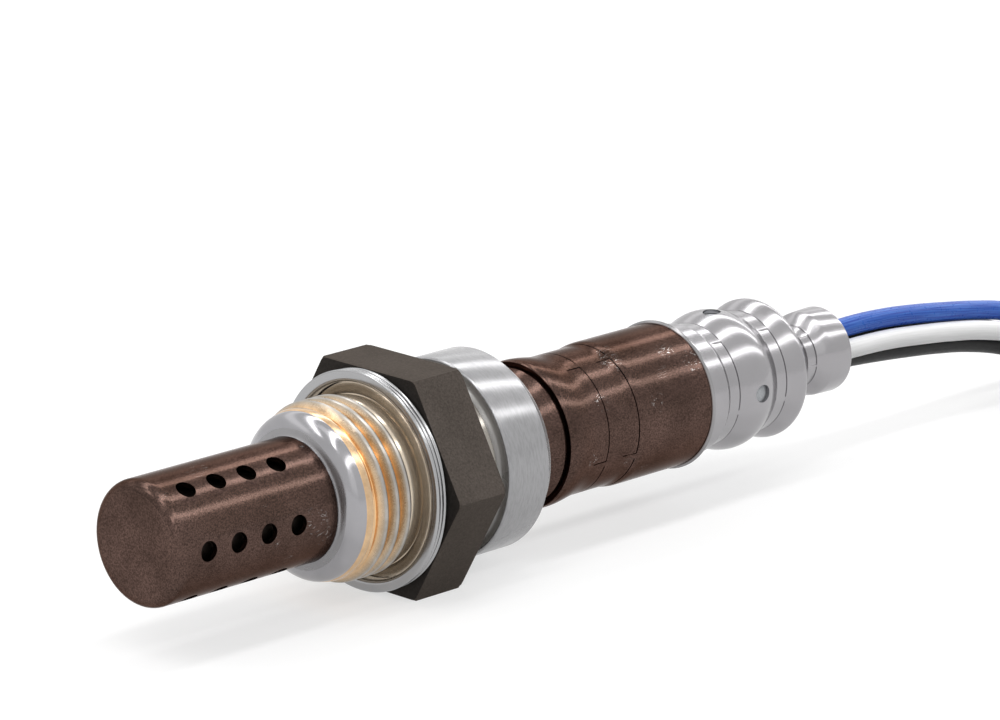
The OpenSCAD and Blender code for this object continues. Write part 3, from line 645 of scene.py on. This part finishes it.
# %%
# The hexagon's outline, carried from station to station
FLAT_R = 11.0
CORNER_R = FLAT_R / math.cos(math.radians(30))
hexagon = bmesh.new()
bmesh.ops.create_circle(hexagon, cap_ends=False, segments=6, radius=CORNER_R * MM)
bmesh.ops.subdivide_edges(hexagon, edges=hexagon.edges, cuts=31, use_grid_fill=False)
upright = Matrix.Rotation(math.radians(90), 3, "Y")
bmesh.ops.rotate(hexagon, verts=hexagon.verts, cent=(0, 0, 0), matrix=upright)
bmesh.ops.translate(hexagon, verts=hexagon.verts, vec=(HEX_FRONT * MM, 0, 0))
ring_edges = list(hexagon.edges)
stations = [HEX_FRONT, 1.45, 1.55, 1.8, 4.4, 7.0, 7.1, 7.2, 7.3, 7.4, 7.5, 7.55, HEX_REAR]
for before_x, after_x in zip(stations, stations[1:]):
    made = bmesh.ops.extrude_edge_only(hexagon, edges=ring_edges)["geom"]
    fresh = [g for g in made if isinstance(g, bmesh.types.BMVert)]
    ring_edges = [g for g in made if isinstance(g, bmesh.types.BMEdge)]
    bmesh.ops.translate(hexagon, verts=fresh, vec=((after_x - before_x) * MM, 0, 0))
print("hexagon:", len(hexagon.verts), "points")


# %%
# Round its corners with the two cones, and soften its first and last edge
# A cone is given by a station, its radius there and how fast it opens along the axis
CONES = [(HEX_FRONT, CORNER_R - 0.12, 0.8), (7.35, CORNER_R - 0.03, -0.9)]
EDGE_DROP = 0.004


def cone_radius(x):
    return min(radius + (x - station) * slope for station, radius, slope in CONES)


def edge_factor(x):
    front_edge = 1 - EDGE_DROP * max(0.0, 1.5 - x) / 0.1
    rear_edge = 1 - EDGE_DROP * max(0.0, x - 7.52) / 0.08
    return min(1.0, front_edge, rear_edge)


for vert in hexagon.verts:
    x = vert.co.x / MM
    radius = math.hypot(vert.co.y, vert.co.z) / MM
    factor = min(radius, cone_radius(x)) / radius * edge_factor(x)
    vert.co.y *= factor
    vert.co.z *= factor
widest = max(math.hypot(v.co.y, v.co.z) for v in hexagon.verts)
print("hexagon over its rounded corners:", round(2 * widest / MM, 2), "mm")

# %%
# Close the hexagon's two faces and join it to the body
FACE_BORE_R = 8.3


def lies_at(x, verts):
    return all(abs(v.co.x / MM - x) < 1e-4 for v in verts)


def join_to_body(part):
    draft = bpy.data.meshes.new("draft")
    part.to_mesh(draft)
    part.free()
    body.from_mesh(draft)
    bpy.data.meshes.remove(draft)


for x in (HEX_FRONT, HEX_REAR):
    rim = [e for e in hexagon.edges if len(e.link_faces) == 1 and lies_at(x, e.verts)]
    inner = bmesh.ops.extrude_edge_only(hexagon, edges=rim)["geom"]
    for vert in [g for g in inner if isinstance(g, bmesh.types.BMVert)]:
        radius = math.hypot(vert.co.y, vert.co.z)
        vert.co.y *= FACE_BORE_R * MM / radius
        vert.co.z *= FACE_BORE_R * MM / radius
for face in hexagon.faces:
    # The front face takes the darker material, which is painted shade
    face.material_index = FACE if lies_at(HEX_FRONT, face.verts) else HEXAGON
join_to_body(hexagon)
print("body with hexagon:", len(body.faces), "faces")

# %%
# The thread: one pitch of its profile, spun and moved along the axis
PITCH = 1.5
TURNS = 6
TURN_STEPS = 144
FIRST_TOOTH = -8.86
tooth = [
    (0.0, ROOT_R), (0.1, 8.13), (0.34, 8.53), (0.55, 8.92), (0.68, 8.985), (0.74, CREST_R),
    (0.83, CREST_R), (0.88, 8.985), (1.0, 8.92), (1.21, 8.53), (1.42, 8.13), (PITCH, ROOT_R),
]
thread = bmesh.new()
tooth_verts = [thread.verts.new(((FIRST_TOOTH + x) * MM, 0, r * MM)) for x, r in tooth]
tooth_edges = [thread.edges.new(pair) for pair in zip(tooth_verts, tooth_verts[1:])]
bmesh.ops.spin(
    thread, geom=tooth_verts + tooth_edges, cent=(0, 0, 0), axis=(1, 0, 0),
    dvec=(PITCH / TURN_STEPS * MM, 0, 0), angle=math.tau * TURNS, steps=TURN_STEPS * TURNS,
    use_merge=False, use_duplicate=False,
)
bmesh.ops.remove_doubles(thread, verts=thread.verts, dist=1e-6)
print("thread:", TURNS, "turns,", len(thread.verts), "points")

# %%
# Let the thread run in behind the nose and run out before the relief, and finish the body
RUN_IN, RUN_OUT = -6.05, -1.5
KEEP_FROM, KEEP_TO = -7.2, -0.9


def thread_limit(x):
    """The radius that the teeth may reach at a station."""
    run_in = 7.9 + (x - RUN_IN) * 1.35 if x < RUN_IN else 8.2 + (x - RUN_IN) * 0.8
    run_out = CREST_R - (x - RUN_OUT) * 2.2
    return max(7.7, min(run_in, run_out))


for vert in thread.verts:
    radius = math.hypot(vert.co.y, vert.co.z) / MM
    factor = min(1.0, thread_limit(vert.co.x / MM) / radius)
    vert.co.y *= factor
    vert.co.z *= factor
outside = [v for v in thread.verts if not KEEP_FROM <= v.co.x / MM <= KEEP_TO]
bmesh.ops.delete(thread, geom=outside, context="VERTS")
for face in thread.faces:
    face.material_index = THREAD
join_to_body(thread)
finish_piece(
    body, "sensor_body",
    [
        chrome, thread_gold, relief_tint_and_painted_light, hexagon_grey, waist_steel,
        collar_steel, bevel_steel, root_painted_shade, shoulder_steel, hexagon_face_painted_shade,
    ],
    30, ["housing"],
)

# %% [markdown]
# ## The folded gasket
# The sealing ring is one strip of sheet steel folded over itself. From the side its three leaves show as
# rounded edges with dark gaps between them, and its inner edge is a wide soft fold. One closed profile is
# spun round the axis, and the gaps are real grooves in it.

# %%
# The gasket
GASKET_R = 11.0
GROOVE = 0.75
leaf_spans = [(0.0, 0.42, GASKET_R), (0.47, 0.86, GASKET_R - 0.06), (0.91, HEX_FRONT, GASKET_R - 0.03)]
leaves = []
for front, rear, radius in leaf_spans:
    half = (rear - front) / 2
    leaves += arc(front + half, radius - half, half, 180, 0, 8)
    leaves += [(rear + 0.01, radius - GROOVE), (rear + 0.04, radius - GROOVE)]
leaves = leaves[:-2]
inner_fold = arc(0.5, 10.27, 0.52, 270, 190, 8)
gasket_profile = inner_fold + [(0.0, 10.4)] + leaves + [(HEX_FRONT, 10.0), (1.3, 9.8), (0.9, 9.76)]
gasket = bmesh.new()
spin_profile(gasket, gasket_profile, closed=True)
gasket_piece = finish_piece(gasket, "folded_gasket", [], 40, ["gasket"])

# %% [markdown]
# ## The rear cover
# The rear cover is a drawn tube that jaws have crimped onto the rubber plug in three rings. Behind each ring
# the tube bulges. Every jaw leaves a fine line at its rear edge, and on every second jaw its sides show too.
# The outline is spun in steps of one degree, so that each mark can begin and end at its own angle, and the
# points are then drawn towards the axis where a jaw has pressed.


# %%
# The outline of the rear cover: straight part, pinch, bulge, pinch, bulge, thin neck and cup
RING_1, RING_2, RING_3 = 47.44, 54.47, 62.5
TUBE_R, PINCH_R, BULGE_R, NECK_R = 6.8, 6.44, 7.3, 3.36


def shares(count):
    """From zero to one in equal steps."""
    return [i / count for i in range(count + 1)]


def swell(x0, r0, x1, r1):
    """A curve that leaves its start at a slope and is level at its end."""
    return [(x0 + (x1 - x0) * t, r0 + (r1 - r0) * (1 - (1 - t) ** 1.5)) for t in shares(14)]


def ease(x0, r0, x1, r1):
    """A curve that is level at both ends."""
    return [(x0 + (x1 - x0) * t, r0 + (r1 - r0) * (1 - math.cos(math.pi * t)) / 2) for t in shares(6)]


def arch(x0, x1, edge_r, top_r, count=24):
    """A half wave between two stations."""
    return [(x0 + (x1 - x0) * t, edge_r + (top_r - edge_r) * math.sin(math.pi * t)) for t in shares(count)]


def line_mark(x, r):
    """Four points that let a jaw's fine line be pressed in at a station."""
    return [(x - 0.07, r), (x - 0.035, r), (x + 0.035, r), (x + 0.06, r)]


rear_outline = (
    [(40.0, TUBE_R), (44.4, TUBE_R), (45.28, TUBE_R)]
    + ease(45.29, TUBE_R, 45.94, PINCH_R)
    + [(46.0, PINCH_R), (46.5, PINCH_R), (47.0, PINCH_R)]
    + line_mark(RING_1, PINCH_R)
    + arch(47.52, 53.0, PINCH_R, BULGE_R)
    + [(53.05, PINCH_R), (53.5, PINCH_R), (54.0, PINCH_R)]
    + line_mark(RING_2, PINCH_R)
    + swell(54.55, PINCH_R, 56.27, BULGE_R)
    + [(56.5, 7.28), (56.7, 7.2), (57.0, 6.98), (57.4, 6.62), (58.2, 5.86), (59.0, 5.08), (59.6, 4.5)]
    + [(60.0, 4.1), (60.35, 3.79), (60.7, 3.56), (60.95, 3.44), (61.2, NECK_R), (61.8, NECK_R)]
    + line_mark(RING_3, NECK_R)
    + swell(62.58, 3.37, 64.0, 4.45)
    + [(65.2, 4.49), (66.45, 4.53), (66.65, 4.5), (66.7, 4.42)]
)
inner_outline = (
    [(66.7, 4.13), (64.0, 4.05)]
    + [(63.2, 3.6), (62.5, 2.97), (61.1, 2.97)]
    + [(60.2, 3.5), (58.3, 5.4), (57.2, 6.4), (56.4, 6.88), (55.6, 6.75)]
    + [(54.9, 6.35), (54.4, 6.04), (53.1, 6.04)]
    + arch(52.8, 47.7, 6.1, 6.88, 10)
    + [(47.4, 6.04), (46.0, 6.04), (45.2, 6.4), (40.0, 6.4)]
)
print("rear cover outline:", len(rear_outline), "points outside,", len(inner_outline), "inside")


# %%
# How far a point is pressed in by the jaws of one ring
JAW_GAP_DEG = 5
JAW_DEPTH = 0.04
LINE_DEPTH = 0.1
LINE_HALF = 0.04
SLOPE_MIDDLE, CUP_FOOT = 59.0, 63.5


def pressed(x, turn, ring_x, jaws, first_deg, reach):
    each = 360 / jaws
    place = (turn - first_deg) % 360
    jaw = int(place // each)
    if not JAW_GAP_DEG / 2 < place % each < each - JAW_GAP_DEG / 2:
        return 0.0
    if abs(x - ring_x) < LINE_HALF:
        return LINE_DEPTH
    if ring_x - reach - 0.01 < x < ring_x and jaw % 2 == 0 and jaw < jaws - 1:
        return JAW_DEPTH
    return 0.0


def dents(x, turn):
    """Soft lumps where the sheet had to fold in front of the cup and behind the last bulge."""
    angle = math.radians(turn)
    cup = max(0.0, 1 - ((x - CUP_FOOT) / 0.8) ** 2)
    slope = max(0.0, 1 - ((x - SLOPE_MIDDLE) / 1.5) ** 2)
    wave = math.sin(6 * angle + 0.8) * 0.6 + math.sin(13 * angle + 2.1 + 2 * x) * 0.5
    return -0.032 * cup * wave - 0.014 * slope * math.sin(6 * angle + 1.9)


# %%
# Spin the rear cover, and press in its outer points
# A ring is given by its station, its number of jaws, where the first one starts, and the sides' length
rings = [(RING_1, 5, 33, 1.45), (RING_2, 5, 33, 1.45), (RING_3, 6, 36, 1.3)]
rear = bmesh.new()
spin_profile(rear, rear_outline + inner_outline, 360, closed=True)
for vert in rear.verts:
    x = vert.co.x / MM
    radius = math.hypot(vert.co.y, vert.co.z) / MM
    turn = math.degrees(math.atan2(-vert.co.y, vert.co.z)) + 0.5
    is_outer = any(abs(x - px) < 1e-3 and abs(radius - pr) < 1e-3 for px, pr in rear_outline)
    if not is_outer:
        continue
    drop = sum(pressed(x, turn, *ring) for ring in rings) + dents(x, turn)
    vert.co.y *= (radius - drop) / radius
    vert.co.z *= (radius - drop) / radius
print("rear cover:", len(rear.verts), "points")

# %% [markdown]
# The four windows are cut with a Boolean modifier, whose result is then read back, so the piece is one
# closed shell with real holes and no live modifier.


# %%
# Cut the windows
WINDOW_X = 50.0
WINDOW_D = 1.85
CUT_FROM, CUT_TO = 6.0, 8.0


def window_cutter():
    """Four short rods that stand across the wall, a quarter turn apart."""
    rods = bmesh.new()
    for turn in (0, 90, 180, 270):
        made = bmesh.ops.create_cone(
            rods, cap_ends=True, segments=40, radius1=WINDOW_D / 2 * MM,
            radius2=WINDOW_D / 2 * MM, depth=(CUT_TO - CUT_FROM) * MM,
        )["verts"]
        bmesh.ops.translate(rods, verts=made, vec=(WINDOW_X * MM, 0, (CUT_FROM + CUT_TO) / 2 * MM))
        around = Matrix.Rotation(math.radians(turn), 3, "X")
        bmesh.ops.rotate(rods, verts=made, cent=(0, 0, 0), matrix=around)
    mesh = bpy.data.meshes.new("cutter")
    rods.to_mesh(mesh)
    rods.free()
    cutter = bpy.data.objects.new("cutter", mesh)
    bpy.context.scene.collection.objects.link(cutter)
    return cutter


def cut_windows(piece):
    cutter = window_cutter()
    modifier = piece.modifiers.new("windows", "BOOLEAN")
    modifier.operation = "DIFFERENCE"
    modifier.solver = "EXACT"
    modifier.object = cutter
    seen = piece.evaluated_get(bpy.context.evaluated_depsgraph_get())
    result = bpy.data.meshes.new_from_object(seen)
    old = piece.data
    piece.modifiers.clear()
    piece.data = result
    bpy.data.meshes.remove(old)
    result.name = piece.name
    cutter_mesh = cutter.data
    bpy.data.objects.remove(cutter)
    bpy.data.meshes.remove(cutter_mesh)
    print(piece.name, "with its windows:", len(result.polygons), "faces")


rear_piece = finish_piece(rear, "rear_cover_piece", [], 24, ["rear_cover"])
cut_windows(rear_piece)

# %% [markdown]
# ## The remaining finishes
# The protection covers, the sleeves, the tie and everything inside are right as solids. They only change
# their material: brown steel outside, dark and plain steel, brass, ceramics and talc inside, rubber for the
# plug, and plastic for the tie.
# Satin steel and pressed steel are for the rear cover and the gasket, which were modelled above, and the
# wires get their coloured insulation.


# %%
# Satin steel, pressed steel, the steels inside, and brass
def satin(name, colour, roughness):
    finish = Finish(name, 1.0, roughness)
    grain = finish.noise(6000, 3.0, 0.6)
    cloud = finish.noise(240, 2.0)
    finish.colour(finish.colours(cloud, [(0.3, tuple(0.94 * c for c in colour)), (0.7, colour)]))
    finish.rough(finish.span(grain, 0.3, 0.7, roughness * 0.85, roughness * 1.15))
    finish.bump(grain, 0.0002, 0.5)
    return finish.material


satin_steel = satin("satin_steel", (0.34, 0.332, 0.342), 0.2)
gasket_steel = satin("gasket_steel", (0.37, 0.37, 0.375), 0.22)
dark_steel = satin("dark_steel", (0.12, 0.095, 0.08), 0.4)
plain_steel = satin("plain_steel", (0.5, 0.5, 0.5), 0.35)
brass = satin("terminal_brass", (0.55, 0.42, 0.2), 0.3)
print("made", satin_steel.name, gasket_steel.name, dark_steel.name, plain_steel.name, brass.name)


# %%
# Ceramic, talc, filter, rubber and tie
def matte(name, low, high, roughness, grain_scale, depth, specular=0.4):
    finish = Finish(name, 0.0, roughness, specular)
    grain = finish.noise(grain_scale, 3.0, 0.6)
    finish.colour(finish.colours(grain, [(0.3, low), (0.7, high)]))
    finish.bump(grain, depth, 0.6)
    return finish.material


ceramic = matte("white_ceramic", (0.72, 0.71, 0.68), (0.8, 0.79, 0.76), 0.45, 2500, 0.01)
talc = matte("talc", (0.66, 0.65, 0.6), (0.78, 0.76, 0.72), 0.9, 3500, 0.03)
filter_white = matte("filter_white", (0.5, 0.52, 0.54), (0.66, 0.68, 0.7), 0.85, 5000, 0.03)
rubber = matte("black_rubber", (0.018, 0.018, 0.019), (0.028, 0.028, 0.029), 0.6, 3000, 0.015)
tie_plastic = matte("tie_plastic", (0.02, 0.02, 0.021), (0.032, 0.032, 0.033), 0.4, 2600, 0.01, 0.5)
print("made", ceramic.name, talc.name, filter_white.name, rubber.name, tie_plastic.name)


# %%
# The insulation of the wires, with faint lines along them
def insulation(name, low, high, roughness):
    finish = Finish(name, 0.0, roughness, 0.22)
    lines = finish.noise(2.0, 2.0, 0.6, finish.tube_vector(4.2, 24))
    grain = finish.noise(2600, 2.0, 0.6)
    finish.colour(finish.colours(lines, [(0.35, low), (0.65, high)]))
    finish.rough(finish.span(grain, 0.3, 0.7, roughness * 0.85, roughness * 1.2))
    finish.bump(lines, 0.012, 0.5)
    return finish.material


blue = insulation("blue_insulation", (0.014, 0.062, 0.38), (0.05, 0.16, 0.56), 0.3)
white = insulation("white_insulation", (0.84, 0.84, 0.84), (0.92, 0.92, 0.92), 0.34)
black = insulation("black_insulation", (0.008, 0.008, 0.008), (0.016, 0.016, 0.016), 0.4)
for colour, material in (("blue", blue), ("white", white), ("black_low", black), ("black_high", black)):
    wires[colour].data.materials.append(material)
print("insulation on", len(wires), "wires")

# %%
# Give every node that is shown as it is its finish, and the two new pieces theirs
finishes = {
    "outer_protection_cover": brown_steel,
    "inner_protection_cover": dark_steel,
    "sensing_element": ceramic,
    "seat_washer": plain_steel,
    "talc_packing": talc,
    "ceramic_bush": ceramic,
    "packing_ring": plain_steel,
    "heater_rod": ceramic,
    "inner_contact": plain_steel,
    "outer_contact": plain_steel,
    "ceramic_holder": ceramic,
    "holder_band": plain_steel,
    "inner_sleeve": brown_steel,
    "outer_sleeve": sleeve_steel,
    "filter_sleeve": filter_white,
    "rubber_grommet": rubber,
    "blue_terminal": brass,
    "white_terminal": brass,
    "black_terminal_low": brass,
    "black_terminal_high": brass,
    "hank_tie": tie_plastic,
}
for name, material in finishes.items():
    for slot_place in nodes[name].material_slots:
        slot_place.material = material
rear_piece.data.materials.append(satin_steel)
gasket_piece.data.materials.append(gasket_steel)
print("finishes on", len(finishes), "nodes")

# %% [markdown]
# ## Floor and light
# The background is white because the floor and the world say so to the camera and to reflections, and not
# because of strong lamps. On a round body a long lamp that lies parallel to the axis shows as one thin pale
# streak, at an angle that the lamp's own angle sets. Three such lamps draw the three streaks in the picture,
# a weak fourth fills the side towards the camera, and two square ones light the rest softly.


# %%
# Which rays see the background: those of the camera and those that metal or glass sends on
def seen_directly(tree):
    rays = tree.nodes.new("ShaderNodeLightPath").outputs
    seen = rays["Is Camera Ray"]
    for kind in ("Is Glossy Ray", "Is Transmission Ray"):
        join = tree.nodes.new("ShaderNodeMath")
        join.operation = "MAXIMUM"
        tree.links.new(seen, join.inputs[0])
        tree.links.new(rays[kind], join.inputs[1])
        seen = join.outputs[0]
    return seen


# %%
# Floor, under the hexagon's lower flat
FLOOR_HALF = 2.5
FLOOR_GLOW = 0.6


def studio_floor():
    bm = bmesh.new()
    bmesh.ops.create_grid(bm, x_segments=8, y_segments=8, size=FLOOR_HALF)
    bmesh.ops.translate(bm, verts=bm.verts, vec=(0, 0, -FLAT_R * MM))
    mesh = bpy.data.meshes.new("floor")
    bm.to_mesh(mesh)
    bm.free()
    floor = bpy.data.objects.new("floor", mesh)
    bpy.context.scene.collection.objects.link(floor)
    material = bpy.data.materials.new("floor")
    material.use_nodes = True
    tree = material.node_tree
    shader = tree.nodes["Principled BSDF"]
    shader.inputs["Base Color"].default_value = (0.42, 0.42, 0.42, 1)
    shader.inputs["Roughness"].default_value = 0.9
    shader.inputs["Specular IOR Level"].default_value = 0.1
    shader.inputs["Emission Color"].default_value = (1, 1, 1, 1)
    glow = tree.nodes.new("ShaderNodeMath")
    glow.operation = "MULTIPLY"
    tree.links.new(seen_directly(tree), glow.inputs[0])
    glow.inputs[1].default_value = FLOOR_GLOW
    tree.links.new(glow.outputs[0], shader.inputs["Emission Strength"])
    mesh.materials.append(material)


studio_floor()


# %%
# World: white to the camera and to reflections, softer as a light
WORLD_LIGHT = 0.4


def studio_world():
    world = bpy.data.worlds.new("studio")
    bpy.context.scene.world = world
    world.use_nodes = True
    tree = world.node_tree
    backdrop = tree.nodes["Background"]
    backdrop.inputs["Color"].default_value = (1, 1, 1, 1)
    strength = tree.nodes.new("ShaderNodeMapRange")
    tree.links.new(seen_directly(tree), strength.inputs["Value"])
    strength.inputs["To Min"].default_value = WORLD_LIGHT
    strength.inputs["To Max"].default_value = 1.0
    tree.links.new(strength.outputs["Result"], backdrop.inputs["Strength"])


studio_world()
print("floor glow", FLOOR_GLOW, "and world light", WORLD_LIGHT)


# %%
# A square lamp that is aimed at the object from a direction
AIMED_AT = Vector((0.02, 0, 0))


def add_lamp(name, width, height, radiance, matrix):
    data = bpy.data.lights.new(name, "AREA")
    data.shape = "RECTANGLE"
    data.size = width
    data.size_y = height
    data.energy = radiance * math.pi * width * height
    light = bpy.data.objects.new(name, data)
    light.matrix_world = matrix
    bpy.context.scene.collection.objects.link(light)


def soft_lamp(name, direction, distance, size, radiance):
    aim = Vector(direction).normalized()
    turned = aim.to_track_quat("Z", "Y")
    add_lamp(name, size, size, radiance, Matrix.LocRotScale(AIMED_AT + aim * distance, turned, None))


# %%
# A long lamp parallel to the object's axis, at an angle round it
STRIP_AWAY = 1.3
STRIP_FROM, STRIP_TO = -1.6, 3.6


def strip_lamp(name, turn, width, radiance):
    angle = math.radians(turn)
    out = Vector((0, -math.sin(angle), math.cos(angle)))
    along = Vector((1, 0, 0))
    turned = Matrix((along, out.cross(along), out)).transposed().to_quaternion()
    place = out * STRIP_AWAY + along * (STRIP_FROM + STRIP_TO) / 2
    add_lamp(name, STRIP_TO - STRIP_FROM, width, radiance, Matrix.LocRotScale(place, turned, None))


strip_lamp("strip_far", -32, 0.2, 4.4)
strip_lamp("strip_high", 4, 0.2, 5.2)
strip_lamp("strip_low", 40, 0.2, 3.6)
strip_lamp("strip_soft", -58, 0.25, 0.6)
soft_lamp("overhead", (-0.35, 0.1, 0.93), 1.6, 0.7, 0.5)
soft_lamp("front", (-0.75, -0.6, 0.35), 1.8, 1.0, 0.25)
bpy.context.scene.view_settings.view_transform = "Standard"
